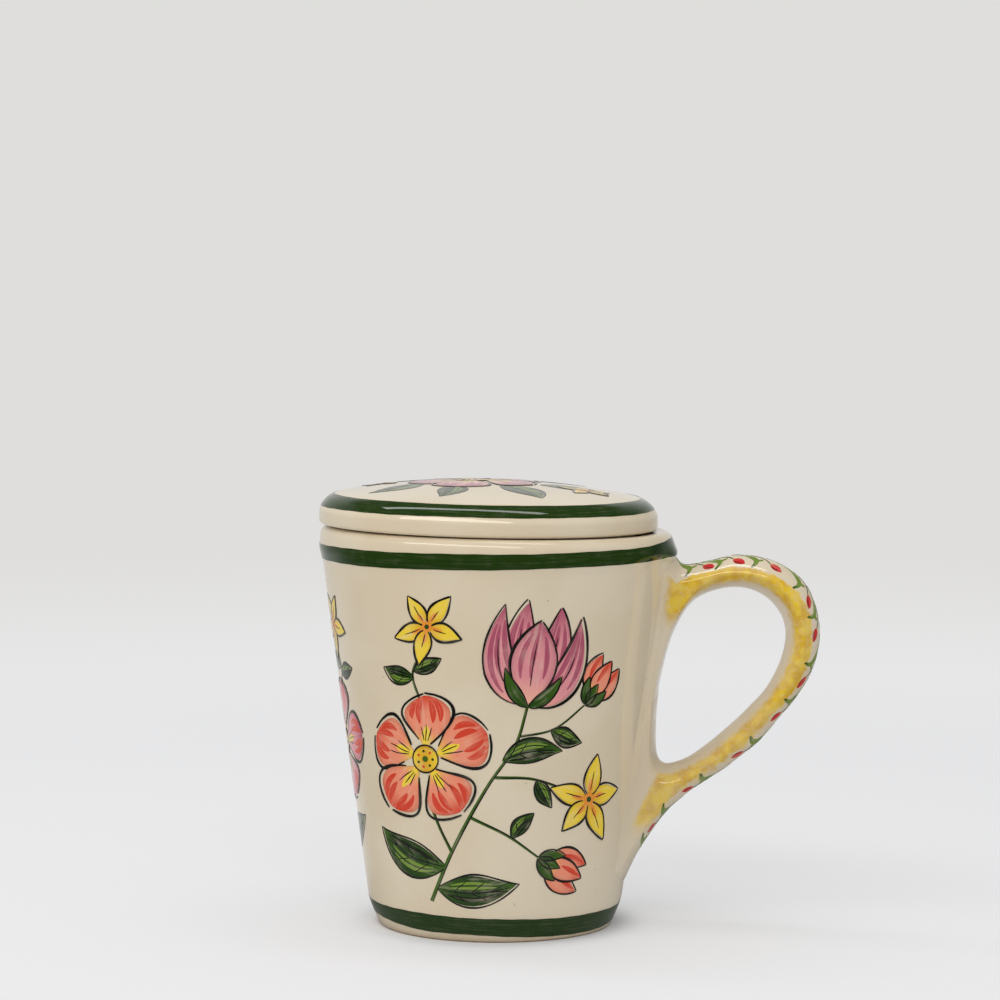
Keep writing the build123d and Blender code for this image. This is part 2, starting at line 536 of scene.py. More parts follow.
def handle_back(along, aside):
    """A point of the handle's back, at a distance along its crest and a share of its half width."""
    outer, inner = (columns_at(along, outer_lengths, line) for line in (outer_points, inner_points))
    crown = round_depth(handle_crown, np.linalg.norm(inner - outer, axis=-1))
    share = np.clip(aside, -side_limit, side_limit)
    return handle_point(outer, inner, round_drop(handle_crown, np.abs(share), crown), share)


# Materials


def new_shader(name):
    """A material, its node tree and its surface shader."""
    material = bpy.data.materials.new(name)
    material.use_nodes = True
    tree = material.node_tree
    return material, tree, tree.nodes["Principled BSDF"]


def feed(tree, socket, value):
    """Sets a socket to a number or a colour, or links another socket to it."""
    if isinstance(value, bpy.types.NodeSocket):
        tree.links.new(value, socket)
    elif isinstance(value, (list, tuple)) and socket.type == "RGBA":
        socket.default_value = (*value, 1.0)
    else:
        socket.default_value = value


def maths(tree, operation, first, second=0.0):
    node = tree.nodes.new("ShaderNodeMath")
    node.operation = operation
    feed(tree, node.inputs[0], first)
    feed(tree, node.inputs[1], second)
    return node.outputs[0]


def mixed(tree, factor, first, second):
    """One colour going over into another."""
    node = tree.nodes.new("ShaderNodeMix")
    node.data_type = "RGBA"
    feed(tree, node.inputs[0], factor)
    feed(tree, node.inputs[6], first)
    feed(tree, node.inputs[7], second)
    return node.outputs[2]


def ranged(tree, value, low, high, to_low=0.0, to_high=1.0):
    """A value moved smoothly from one range to another."""
    node = tree.nodes.new("ShaderNodeMapRange")
    node.interpolation_type = "SMOOTHSTEP"
    for socket, given in zip(node.inputs, (value, low, high, to_low, to_high)):
        feed(tree, socket, given)
    return node.outputs[0]


def noise(tree, vector, scale, detail=2.0):
    node = tree.nodes.new("ShaderNodeTexNoise")
    feed(tree, node.inputs["Vector"], vector)
    feed(tree, node.inputs["Scale"], scale)
    feed(tree, node.inputs["Detail"], detail)
    return node.outputs[0]


def stretched(tree, vector, factors):
    """A vector scaled by its own factor along each axis."""
    node = tree.nodes.new("ShaderNodeVectorMath")
    node.operation = "MULTIPLY"
    feed(tree, node.inputs[0], vector)
    node.inputs[1].default_value = factors
    return node.outputs[0]


def attribute(tree, name, output="Fac"):
    node = tree.nodes.new("ShaderNodeAttribute")
    node.attribute_name = name
    return node.outputs[output]


def object_place(tree):
    return tree.nodes.new("ShaderNodeTexCoord").outputs["Object"]


# Noises of the surfaces: waves per metre and detail, and for most of them the range that
# counts and what the ends of that range give
tone_noise = (38.0, 3.0, 0.36, 0.64)
speck_noise = (620.0, 1.0, 0.79, 0.82, 0.0, 0.4)
gloss_noise = (130.0, 2.0, 0.3, 0.7, 0.035, 0.075)
clay_noise = (1500.0, 3.0, 0.3, 0.7)
cover_noise = (160.0, 2.0, 0.34, 0.6, 0.84, 1.0)
pore_noise = (1100.0, 3.0, 0.34, 0.6, 0.82, 1.0)
dab_noise = (290.0, 3.0, 0.4, 0.64)
wear_noise = (180.0, 2.0)
ragged_noise = (700.0, 3.0)
blot_noise = (300.0, 3.0)
bristle_noise = (1.0, 3.0)

# Glaze: the roughness that bare clay adds, and its bumps by waves per metre and strength
clay_roughness = 0.6
glaze_bump = (150.0, 0.12)
handle_bump = (170.0, 0.14)
bump_detail = 1.0
bump_distance = 0.0004

# Sponged yellow of the handle: each limit is a value at the handle's points, a range of it and
# how much yellow the ends of that range leave
sponge_limits = (
    ("ridge", -0.3, 0.5, 0.0, 1.0),
    ("palm", 1.3, 3.0, 0.0, 1.0),
    ("out", 0.4, 2.8, 0.0, 1.0),
    ("crest", 11.0, 16.0, 1.0, 0.0),
    ("rise", 22.5, 29.0, 0.0, 1.0),
    ("rise", 44.0, 62.0, 0.88, 1.0),
)
sponge_ragged = 2.0

# Paint: the pull of the bristles along a stroke, their share in its wear, the range of the wear
# that thins it, and the range and darkness of the paint that gathers at its edge
bristle_pull = 0.09
bristle_share = 0.65
thin_range = (0.46, 0.72)
pool_range = (0.72, 1.0)
pool_dark = 0.55


def ranged_noise(tree, place, scale, detail, *span):
    """A noise of which a range counts."""
    return ranged(tree, noise(tree, place, scale, detail), *span)


def cream_glaze(tree, place):
    """Cream with slow changes of tone and a few iron specks."""
    base = mixed(tree, ranged_noise(tree, place, *tone_noise), cream, pale_cream)
    return mixed(tree, ranged_noise(tree, place, *speck_noise), base, speck_brown)


def finish_glaze(tree, shader, place, base, bare=None, bump=glaze_bump):
    """Gives a shader its colour and the gloss and faint unevenness of a fired glaze."""
    rough = ranged_noise(tree, place, *gloss_noise)
    if bare is not None:
        rough = maths(tree, "ADD", rough, maths(tree, "MULTIPLY", bare, clay_roughness))
    scale, strength = bump
    node = tree.nodes.new("ShaderNodeBump")
    feed(tree, node.inputs["Strength"], strength)
    feed(tree, node.inputs["Distance"], bump_distance)
    feed(tree, node.inputs["Height"], noise(tree, place, scale, bump_detail))
    feed(tree, shader.inputs["Normal"], node.outputs[0])
    feed(tree, shader.inputs["Base Color"], base)
    feed(tree, shader.inputs["Roughness"], rough)
    shader.inputs["IOR"].default_value = glaze_ior


def glaze_material(name, thin_edges=True):
    """Cream glaze, thinner and browner on edges (partly painted shade), with bare clay where it
    stands.
    """
    material, tree, shader = new_shader(name)
    place = object_place(tree)
    base, bare = cream_glaze(tree, place), None
    if thin_edges:
        # The glaze thins and browns near the given edges; at the lid's seat and the foot this is
        # also painted shade
        worn_and_shaded = maths(tree, "MULTIPLY", attribute(tree, "edge"), noise(tree, place, *wear_noise))
        base = mixed(tree, worn_and_shaded, base, thin_cream_and_shade)
        bare = attribute(tree, "bare")
        # Bare clay where the piece stands, its dark brown partly painted contact shadow
        clay = mixed(tree, ranged_noise(tree, place, *clay_noise), bisque, clay_brown_and_contact_shade)
        base = mixed(tree, bare, base, clay)
    finish_glaze(tree, shader, place, base, bare)
    return material


def handle_material():
    """Cream glaze with a yellow sponged along the handle's sides."""
    material, tree, shader = new_shader("handle_glaze")
    place = object_place(tree)
    ragged = maths(tree, "SUBTRACT", noise(tree, place, *ragged_noise), 0.5)
    ragged = maths(tree, "MULTIPLY", ragged, sponge_ragged)
    covered = ranged_noise(tree, place, *cover_noise)
    for name, *span in sponge_limits:
        spread = maths(tree, "ADD", attribute(tree, name), ragged)
        covered = maths(tree, "MULTIPLY", covered, ranged(tree, spread, *span))
    covered = maths(tree, "MULTIPLY", covered, ranged_noise(tree, place, *pore_noise))
    sponge = mixed(tree, ranged_noise(tree, place, *dab_noise), sponge_yellow, sponge_ochre)
    base = mixed(tree, covered, cream_glaze(tree, place), sponge)
    finish_glaze(tree, shader, place, base, bump=handle_bump)
    return material


def paint_material(name, thinnest, streaks, pooling):
    """Brush paint under glaze: streaky along the stroke, thin in places and darker at its edge."""
    material, tree, shader = new_shader(name)
    place = object_place(tree)
    tint = attribute(tree, "tint", "Color")
    brush = stretched(tree, attribute(tree, "brush", "Vector"), (bristle_pull, streaks, 1.0))
    bristles = maths(tree, "MULTIPLY", noise(tree, brush, *bristle_noise), bristle_share)
    blots = maths(tree, "MULTIPLY", noise(tree, place, *blot_noise), 1 - bristle_share)
    thin = ranged(tree, maths(tree, "ADD", bristles, blots), *thin_range, 0.0, thinnest)
    washed = mixed(tree, thin, tint, pale_cream)
    edge = ranged(tree, attribute(tree, "edge"), *pool_range, 0.0, pooling)
    base = mixed(tree, edge, washed, mixed(tree, pool_dark, tint, ink))
    finish_glaze(tree, shader, place, base)
    return material


# Pieces


def added(name, data):
    """A new object in the scene."""
    made = bpy.data.objects.new(name, data)
    bpy.context.scene.collection.objects.link(made)
    return made


def make_piece(name, points, faces, material, body, values):
    """A mesh piece in the frame, on a body, with named numbers at its points."""
    mesh = bpy.data.meshes.new(name)
    mesh.from_pydata([tuple(float(c) * MM for c in point) for point in points], [], faces)
    mesh.shade_smooth()
    mesh.set_sharp_from_angle(angle=sharp_angle)
    for value_name, kind, field, numbers in values:
        made = mesh.attributes.new(value_name, kind, "POINT")
        made.data.foreach_set(field, np.asarray(numbers, np.float32).ravel())
    mesh.materials.append(material)
    piece = added(name, mesh)
    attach(piece, body)
    return piece


def turned_piece(name, surface, body, slot, wear_and_shade_heights):
    """A turned piece whose glaze thins and browns near the heights, partly painted shade, and ends
    under the foot.
    """
    points, faces, rows = surface.mesh()
    height = surface.height[rows]
    near = [1 - ease(0.0, edge_reach, np.abs(height - level)) for level in wear_and_shade_heights]
    foot = surface.radius[rows] > recess_radius - bare_margin
    values = (
        # How much the glaze browns near an edge: thinning glaze, and painted shade at the seat and
        # the foot
        ("edge", "FLOAT", "value", np.max(near, axis=0) * edge_wear_and_shade),
        ("bare", "FLOAT", "value", (1 - ease(*bare_heights, height)) * foot),
    )
    return make_piece(name, points, faces, glaze_material(slot), body, values)


# Where the handle's yellow begins, as a drop from the crest: further down over the upper bend,
# most of all at the root, and on the lower arm, where it also comes in more slowly
sponge_start = 1.7
sponge_upper, sponge_upper_drop = (78.0, 88.0), 0.9
sponge_root, sponge_root_drop = (2.0, 7.0), 1.6
sponge_lower, sponge_lower_drop, sponge_lower_fade = (40.0, 62.0), 0.3, 1.6


def handle_piece():
    """The handle, lofted through its sections, with its distances from crest and palm edge."""
    lean = np.linspace(0, pi / 2, round_points)
    back_shares, palm_shares = np.sin(lean), np.cos(lean)
    shares = np.concatenate((back_shares, np.ones(flat_points), palm_shares))
    shares = np.concatenate((-shares, shares[-2:0:-1]))
    count = len(shares)
    points, crest, palm, faces = [], [], [], []
    for outer, inner in zip(outer_points, inner_points):
        thickness = np.linalg.norm(inner - outer)
        crown = round_depth(handle_crown, thickness)
        bottom = round_depth(handle_palm, thickness)
        back = round_drop(handle_crown, back_shares, crown)
        flat = np.linspace(crown, thickness - bottom, flat_points + 2)[1:-1]
        front = thickness - round_drop(handle_palm, palm_shares, bottom)
        drops = np.concatenate((back, flat, front))
        drops = np.concatenate((drops, drops[-2:0:-1]))
        points.extend(handle_point(outer, inner, drops, shares))
        crest.extend(drops)
        palm.extend(thickness - drops)
    for ring in range(handle_rings - 1):
        faces.extend(ring_faces(ring * count, (ring + 1) * count, count))
    faces.append(tuple(range(count)))
    faces.append(tuple(reversed(range((handle_rings - 1) * count, handle_rings * count))))
    x, y, height = np.array(points).T
    out = np.hypot(x, y) - wall_radius(height)
    lower = 1 - ease(*sponge_lower, height)
    at_root = sponge_root_drop * (1 - ease(*sponge_root, out))
    start = sponge_start + ease(*sponge_upper, height) * (sponge_upper_drop + at_root)
    start = start + sponge_lower_drop * lower
    ridge = (np.array(crest) - start) / (1 + sponge_lower_fade * lower)
    named = (("crest", crest), ("palm", palm), ("out", out), ("ridge", ridge), ("rise", height))
    values = [(name, "FLOAT", "value", numbers) for name, numbers in named]
    material = handle_material()
    return make_piece("handle_loop", points, faces, material, "mug", values)


# Brush strokes


class Canvas:
    """Brush strokes on one surface, gathered as thin closed shells of one mesh."""

    def __init__(self, place):
        self.place = place
        self.points, self.faces, self.tints, self.brush, self.edges = [], [], [], [], []
        self.strokes = 0

    def stroke(self, spine, left, right, tints, lift, across=2):
        """A stroke along a line of the surface, with half widths, colours and lifts along it."""
        spine = np.asarray(spine, float)
        count, columns = len(spine), across + 1
        left, right, lift = (np.broadcast_to(value, count) for value in (left, right, lift))
        shares = np.linspace(-1, 1, columns)
        sides = np.abs(shares)
        offsets = np.where(shares > 0, np.outer(left, sides), -np.outer(right, sides))
        spots = spine[:, None, :] + sideways_of(spine)[:, None, :] * offsets[..., None]
        points, normals = self.place(spots[..., 0].ravel(), spots[..., 1].ravel())
        lifts = np.repeat(lift, columns)[:, None]
        first = len(self.points)
        for top, low in zip(points + normals * lifts, points - normals * paint_sink):
            self.points.extend((top, low))
        gone = np.repeat(lengths_along(spine), columns)
        apart = np.full(count * columns, stroke_apart * self.strokes)
        self.brush.extend(np.repeat(np.stack((gone, offsets.ravel(), apart), axis=1), 2, axis=0))
        self.edges.extend(np.repeat(np.tile(sides, count), 2))
        tints = np.repeat(np.broadcast_to(tints, (count, 3)), columns * 2, axis=0)
        self.tints.extend(np.concatenate((tints, np.ones((len(tints), 1))), axis=1))
        self.close(first, count, columns)
        self.strokes += 1

    def close(self, first, count, columns):
        """Faces of one shell: its top, its underside and the walls around them."""
        tops = first + 2 * np.arange(count * columns).reshape(count, columns)
        corners = (tops[:-1, :-1], tops[1:, :-1], tops[1:, 1:], tops[:-1, 1:])
        for a, b, c, d in np.stack(corners, axis=-1).reshape(-1, 4).tolist():
            self.faces.extend(((a, b, c, d), (d + 1, c + 1, b + 1, a + 1)))
        sides = (tops[0], tops[1:, -1], tops[-1, -2::-1], tops[-2:0:-1, 0])
        border = np.concatenate(sides).tolist()
        for a, b in zip(border, border[1:] + border[:1]):
            self.faces.append((a, b, b + 1, a + 1))

    def piece(self, name, material, body, slot):
        values = (
            ("tint", "FLOAT_COLOR", "color", self.tints),
            ("brush", "FLOAT_VECTOR", "vector", self.brush),
            ("edge", "FLOAT", "value", self.edges),
        )
        return make_piece(name, self.points, self.faces, material, body, values)


Shape = namedtuple("Shape", "spine left right")
thinnest_stroke = 0.03
fill_slip = 0.2
wash_columns, dot_columns = 8, 4
streak_step, pen_step = 0.9, 0.7
streak_end = 0.12
pen_tremble, pen_drift = 0.16, 0.1


def blade(start, bend, end, width, belly=1.0, blunt=1.0, lopsided=0.0, count=20):
    """A petal or leaf: a bent line whose half widths swell and close again."""
    shares = 0.5 - 0.5 * np.cos(np.linspace(0, pi, count))
    half = width * np.sin(pi * shares**belly).clip(0, 1) ** blunt
    left, right = half * (1 + lopsided), half * (1 - lopsided)
    return Shape(bow(start, bend, end, shares), left, right)


class Spot:
    """Where a motif is painted: its place, turn and size on the surface."""

    def __init__(self, x, y, turn=0.0, size=1.0, flip=False):
        self.place = np.array((x, y), float)
        self.turn = radians(turn)
        self.size = size
        self.flip = flip

    def points(self, points):
        points = np.asarray(points, float) * self.size
        if self.flip:
            points = points * (1, -1)
        turned = np.array(((cos(self.turn), sin(self.turn)), (-sin(self.turn), cos(self.turn))))
        return points @ turned + self.place

    def shape(self, shape):
        left, right = (shape.right, shape.left) if self.flip else (shape.left, shape.right)
        return Shape(self.points(shape.spine), left * self.size, right * self.size)


def along_shape(shape, start, end, side):
    """A line within a shape, from one share of its length to another, at a share of its width."""
    half = shape.left if side > 0 else shape.right
    line = shape.spine + sideways_of(shape.spine) * (half * side)[:, None]
    places = lengths_along(shape.spine)
    return columns_at(np.linspace(start, end, len(line)) * places[-1], places, line)


class Painter:
    """Paints on one surface with three brushes: broad washes, soft shades and thin lines.

    What is painted at a higher layer covers what lies under it, lines too.
    """

    def __init__(self, place, seed):
        self.wash, self.shade, self.line = Canvas(place), Canvas(place), Canvas(place)
        self.random = random.Random(seed)
        self.layer = 0

    def about(self, value, spread):
        """The value, a little off by hand."""
        return value * (1 + self.random.uniform(-spread, spread))

    def lifted(self, lift):
        return lift + layer_lift * self.layer

    def fill(self, shape, tints):
        """Fills a shape with a wash that goes through the tints from its base to its tip."""
        places = lengths_along(shape.spine)
        along = columns_at(places / places[-1], np.linspace(0, 1, len(tints)), np.array(tints))
        left, right = (np.maximum(half, thinnest_stroke) for half in (shape.left, shape.right))
        slip = [self.random.uniform(-fill_slip, fill_slip) for _ in range(2)]
        lift = self.lifted(wash_lift)
        self.wash.stroke(shape.spine + slip, left, right, along, lift, across=wash_columns)

    def streak(self, shape, tint, start, end, side, width):
        """A soft stroke inside a shape."""
        line = resampled(along_shape(shape, start, end, side), streak_step)
        swell = np.sin(np.linspace(streak_end, pi - streak_end, len(line))) ** 0.7
        half = np.maximum(width / 2 * swell, thinnest_stroke)
        self.shade.stroke(line, half, half, tint, self.lifted(shade_lift))

    def pen(self, points, thick, tint=ink):
        """A thin brush line, pressed in the middle and lifted at its ends."""
        line = resampled(points, pen_step)
        shares = np.linspace(0, 1, len(line))
        press = 0.5 + 0.5 * np.sin(pi * shares) ** 0.5
        tremble = np.sin(shares * self.random.uniform(7, 16) + self.random.uniform(0, 6))
        half = np.maximum(thick / 2 * press * (1 + pen_tremble * tremble), thinnest_stroke)
        drift = self.random.uniform(-pen_drift, pen_drift)
        drift = drift * np.sin(shares * self.random.uniform(3, 9))
        self.line.stroke(line + drift[:, None], half, half, tint, self.lifted(line_lift))

    def outline(self, shape, thick=0.55, gap=1.06, start=0.06, reach=1.03):
        """Two loose lines around a shape, one for each side, that reach a little past it."""
        base = shape.spine[0]
        for side in (1, -1):
            stop = self.random.uniform(0.985, 1.0)
            edge = along_shape(shape, self.about(start, 0.6), stop, side * self.about(gap, 0.04))
            self.pen(base + (edge - base) * self.about(reach, 0.012), self.about(thick, 0.2))

    def dot(self, x, y, radius, tint):
        """A round touch of the brush."""
        spot = Spot(x, y, self.random.uniform(0, 360))
        drop = spot.shape(blade((-radius, 0), (0, 0), (radius, 0), radius, 1.0, 0.5, count=9))
        half = np.maximum(drop.left, thinnest_stroke)
        self.line.stroke(drop.spine, half, half, tint, self.lifted(line_lift), across=dot_columns)


# Motifs: each grows along its own X

petals_round = 5
petal_turn = 360 / petals_round


def draw_leaf(painter, x, y, turn, length, width, bend=0.0):
    """A slender leaf, dark along one side, with a midrib and slanting veins."""
    painter.layer = 0
    spot = Spot(x, y, turn)
    shape = spot.shape(blade((0, 0), (length * 0.5, bend), (length, 0), width, 0.86, 1.05, 0.12))
    painter.fill(shape, (leaf_mid, leaf_dark, leaf_dark, leaf_mid))
    for side in (0.58, 0.3):
        painter.streak(shape, leaf_light, 0.16, painter.about(0.76, 0.1), side, width * 0.2)
    painter.streak(shape, band_dark, 0.1, 0.86, -0.5, width * 0.34)
    painter.outline(shape, thick=0.5, gap=1.03, start=0.02)
    painter.pen(along_shape(shape, 0.03, 0.9, 0.0), 0.34)
    veins = max(3, int(length / 4.5))
    for vein in range(1, veins):
        share = vein / veins
        for side in (0.72, -0.72):
            root = along_shape(shape, share * 0.86, share * 0.86 + 0.001, 0.0)[0]
            tip = along_shape(shape, min(share + 0.12, 0.95), min(share + 0.121, 0.96), side)[0]
            painter.pen(np.linspace(root, tip, 4), 0.24)


def draw_blossom(painter, x, y, turn, size, tints, streak_tint):
    """An open blossom of five broad round petals about a yellow middle."""
    for petal in range(petals_round):
        painter.layer = 1 + petal
        way = turn + petal_turn * petal + painter.random.uniform(-5, 5)
        spot = Spot(x, y, way, painter.about(size, 0.05))
        bend = painter.random.uniform(-1.4, 1.4)
        shape = spot.shape(blade((2.2, 0), (8, bend), (14.8, bend * 0.4), 5.9, 1.75, 0.66))
        painter.fill(shape, tints)
        for side in (-0.62, -0.3, 0.34, 0.66):
            start, end = painter.random.uniform(0.42, 0.6), painter.random.uniform(0.88, 0.97)
            painter.streak(shape, streak_tint, start, end, side, size * 1.5)
        painter.streak(shape, yellow, 0.06, painter.random.uniform(0.42, 0.6), 0.0, size * 2.0)
        painter.outline(shape, thick=0.62, gap=1.06, start=0.14, reach=1.05)
        for side in (-0.28, 0.02, 0.3):
            painter.pen(along_shape(shape, 0.16, painter.random.uniform(0.4, 0.62), side), 0.3)
    painter.layer = 6
    middle = Spot(x, y, 0, size)
    heart = middle.shape(blade((-3.0, 0), (0, 0), (3.0, 0), 3.0, 1.0, 0.5, count=14))
    painter.fill(heart, (yellow, ochre, yellow))
    ring = np.linspace(0, 2 * pi + 0.25, 24)
    painter.pen(middle.points(np.stack((3.1 * np.cos(ring), 3.1 * np.sin(ring)), axis=1)), 0.42)
    for seed in range(7):
        angle = 2 * pi * seed / 7
        reach = 1.8 * size
        tint = coral if seed % 2 else leaf_dark
        painter.dot(x + reach * cos(angle), y + reach * sin(angle), 0.32 * size, tint)
    painter.dot(x, y, 0.7 * size, leaf_mid)


def draw_sepals(painter, spot, sides, line, form, thick):
    """Green sepals at the base of a flower: a bent line, leaning to each of the sides."""
    for side in sides:
        sepal = spot.shape(blade(*(np.array(point) * (1, side) for point in line), *form))
        painter.fill(sepal, (leaf_dark, leaf_mid))
        painter.outline(sepal, thick=thick, gap=1.05, start=0.02)


def draw_tulip(painter, x, y, turn, size, tints, streak_tint):
    """A tulip: two petals behind, two cupped at the sides and one in front."""
    spot = Spot(x, y, turn, size)
    petals = (
        ((1.0, 1.0), (10, 5.0), (20.4, 3.6), 3.2),
        ((1.0, -1.0), (10, -5.0), (20.0, -3.4), 3.2),
        ((0.0, 0.3), (3.5, 9.8), (18.8, 8.0), 3.0),
        ((0.0, -0.3), (3.5, -9.8), (18.4, -8.2), 3.0),
        ((0.0, 0.0), (9, 0.4), (16.6, 0.2), 4.6),
    )
    for layer, (start, bend, end, width) in enumerate(petals):
        painter.layer = 1 + layer
        shape = spot.shape(blade(start, bend, end, width, 0.92, 0.85))
        painter.fill(shape, tints)
        for side in (-0.55, 0.1, 0.6):
            first, last = painter.random.uniform(0.18, 0.4), painter.random.uniform(0.8, 0.95)
            painter.streak(shape, streak_tint, first, last, side, size * 1.1)
        painter.outline(shape, thick=0.6, gap=1.04, start=0.03)
        painter.pen(along_shape(shape, 0.22, painter.random.uniform(0.55, 0.75), 0.05), 0.3)
    painter.layer = 6
    line = ((-0.6, 0), (1.5, 4.0), (6.4, 5.8))
    draw_sepals(painter, spot, (1, -1), line, (1.2, 0.8, 0.9), 0.42)


def draw_star(painter, x, y, turn, size):
    """A small yellow flower of five pointed petals."""
    for petal in range(petals_round):
        painter.layer = 1 + petal
        way = turn + petal_turn * petal + painter.random.uniform(-6, 6)
        spot = Spot(x, y, way, painter.about(size, 0.07))
        bend = painter.random.uniform(-1.0, 1.0)
        shape = spot.shape(blade((0.8, 0), (5.2, bend), (10.6, bend), 2.35, 0.8, 0.95))
        painter.fill(shape, (ochre, yellow, yellow))
        painter.streak(shape, orange, 0.04, 0.42, 0.1, size * 1.2)
        painter.outline(shape, thick=0.52, gap=1.07, start=0.05, reach=1.05)
        painter.pen(along_shape(shape, 0.14, painter.random.uniform(0.45, 0.7), 0.0), 0.28)
    painter.layer = 6
    painter.dot(x, y, 1.5 * size, orange)
    painter.layer = 7
    painter.dot(x, y, 0.7 * size, leaf_dark)


def draw_bell(painter, x, y, turn, size, tints, streak_tint):
    """A nodding bell of three petals in a green cup."""
    spot = Spot(x, y, turn, size)
    for layer, (bend, end) in enumerate(((3.4, 3.0), (-3.4, -3.0), (0.0, 0.0))):
        painter.layer = 1 + layer
        shape = spot.shape(blade((1.0, 0), (4.5, bend), (10.6, end), 2.3, 1.05, 0.9))
        painter.fill(shape, tints)
        painter.streak(shape, streak_tint, 0.4, 0.92, 0.25, size * 1.1)
        painter.outline(shape, thick=0.5, gap=1.05, start=0.1)
    painter.layer = 4
    line = ((-1.0, 0), (1.4, 2.2), (4.6, 2.9))
    draw_sepals(painter, spot, (1, -1, 0), line, (1.1, 0.85, 0.9), 0.4)


def draw_stem(painter, points, thick=0.75):
    """A stem: a green stroke with a thin dark line along it."""
    painter.layer = 0
    line = smooth_line(points, 40)
    half = np.maximum(thick / 2 * np.linspace(1.1, 0.7, len(line)), thinnest_stroke)
    painter.wash.stroke(line, half, half, leaf_mid, wash_lift)
    painter.pen(line + (thick * 0.32, 0), 0.34)


# Painting of the cup


def cup_place(x, y):
    """The cup's wall, rolled out: distance round from the front, and height."""
    along = cup_surface.along_at_height(y)
    return cup_surface.at(along, front_angle + x / wall_radius(y))


coral_tints = (yellow, salmon, salmon, coral)
pink_tints = (blush, pink, pink, mauve)
bouquet_height = 48.0


def draw_bouquet(painter, middle, size, flip, blossom_tints, tulip_tints):
    """One bouquet about a middle line: a blossom, a tulip, stars and bells on bent stems."""
    way = -1 if flip else 1

    def at(x, y):
        return middle + way * size * x, bouquet_height + size * (y - bouquet_height)

    def turned(angle):
        return 180 - angle if flip else angle

    def stem(*points, thick=0.75):
        draw_stem(painter, [at(x, y) for x, y in points], thick)

    def leaf(x, y, turn, length, width, bend):
        draw_leaf(painter, *at(x, y), turned(turn), size * length, size * width, way * size * bend)

    stem((-14, 10), (-9, 22), (0.5, 40), (7, 50), (9.6, 59), thick=0.95)
    stem((-8.6, 22.5), (-12, 29), (-15, 36))
    stem((1.6, 41.5), (11, 41), (19.5, 38))
    stem((-4.0, 31.5), (5, 27), (12.5, 21.5))
    stem((-17, 60), (-19, 66), (-16, 73), thick=0.6)
    stem((7.6, 51.5), (16, 53), (24.5, 58.5), thick=0.6)
    leaf(-10, 19, 158, 21, 4.3, 4.0)
    leaf(-12.5, 13.5, 4, 20, 3.8, -3.0)
    leaf(3.6, 45.5, 8, 15, 3.0, 2.6)
    leaf(15.5, 53, -24, 9, 2.2, -1.2)
    leaf(12, 40.8, -62, 8, 1.9, -0.8)
    leaf(6.0, 26.4, 48, 8, 1.9, 0.8)
    leaf(-18.6, 65.4, 168, 9, 2.1, 1.0)
    leaf(-18.8, 67, 24, 8, 1.9, -0.8)
    draw_tulip(painter, *at(9.8, 59.5), turned(80), 1.2 * size, tulip_tints, mauve)
    draw_blossom(painter, *at(-15.5, 45.5), turned(20), 1.1 * size, blossom_tints, coral)
    draw_star(painter, *at(26.5, 35), turned(10), 1.05 * size)
    draw_star(painter, *at(-15, 78), turned(50), 0.86 * size)
    draw_bell(painter, *at(13.5, 20.8), turned(-26), 1.15 * size, blossom_tints, coral)
    draw_bell(painter, *at(25.5, 59.5), turned(52), 1.1 * size, blossom_tints, coral)


def paint_cup():
    """Three bouquets round the cup, the last one small, the plain wall left at the handle."""
    painter = Painter(cup_place, 11)
    middle_radius = wall_radius(cup_height / 2)
    for turn, *look in (
        (-3, 1.0, False, coral_tints, pink_tints),
        (-104, 0.92, True, pink_tints, coral_tints),
        (131, 0.82, False, coral_tints, pink_tints),
    ):
        draw_bouquet(painter, radians(turn) * middle_radius, *look)
    return painter


# Painting of the lid

lid_flower_x = -3
wreath_lean, wreath_bend = 14, 2.6


def lid_place(x, y):
    """The lid's dome seen from above: right and away from the front."""
    along = lid_surface.along_at_radius(np.hypot(x, y))
    return lid_surface.at(along, np.arctan2(y, x) + view_turn)


def paint_lid():
    """A pink blossom on the lid, with leaves and two stars about it."""
    painter = Painter(lid_place, 23)
    for turn, reach, length, width in (
        (205, 15, 16, 3.6),
        (246, 15, 15, 3.4),
        (292, 15, 17, 4.0),
        (336, 17, 17, 4.2),
        (20, 15, 16, 3.6),
        (75, 15, 17, 3.8),
        (130, 15, 16, 3.6),
    ):
        angle = radians(turn)
        x, y = reach * cos(angle) + lid_flower_x, reach * sin(angle)
        draw_leaf(painter, x, y, turn + wreath_lean, length, width, wreath_bend)
    draw_star(painter, 24, -9, 30, 0.62)
    draw_star(painter, -26, 8, 10, 0.62)
    draw_blossom(painter, lid_flower_x, 0, 40, 1.12, (yellow, blush, pink, mauve), mauve)
    return painter


# Painting of the handle's back

slope_step = 0.02


def handle_place(along, aside):
    """The handle's back, rolled out: distance along its crest and distance aside of it."""
    share = aside / handle_half_width
    points = handle_back(along, share)
    forward = handle_back(along + slope_step, share) - handle_back(along - slope_step, share)
    sideways = handle_back(along, share + slope_step) - handle_back(along, share - slope_step)
    normals = np.cross(forward, sideways)
    return points, normals / (np.linalg.norm(normals, axis=-1, keepdims=True) + TINY)


# The border along the crest: where it starts, what it leaves free at the tail, how far its
# second side is shifted, and the steps from leaf to leaf
border_start = 9.0
border_end = 7.0
border_shift = 4.2
border_steps = (7.8, 9.0, 12.6, 9.1, 12.5, 11.0, 14.1, 15.9, 13.3, 9.2, 0.0)

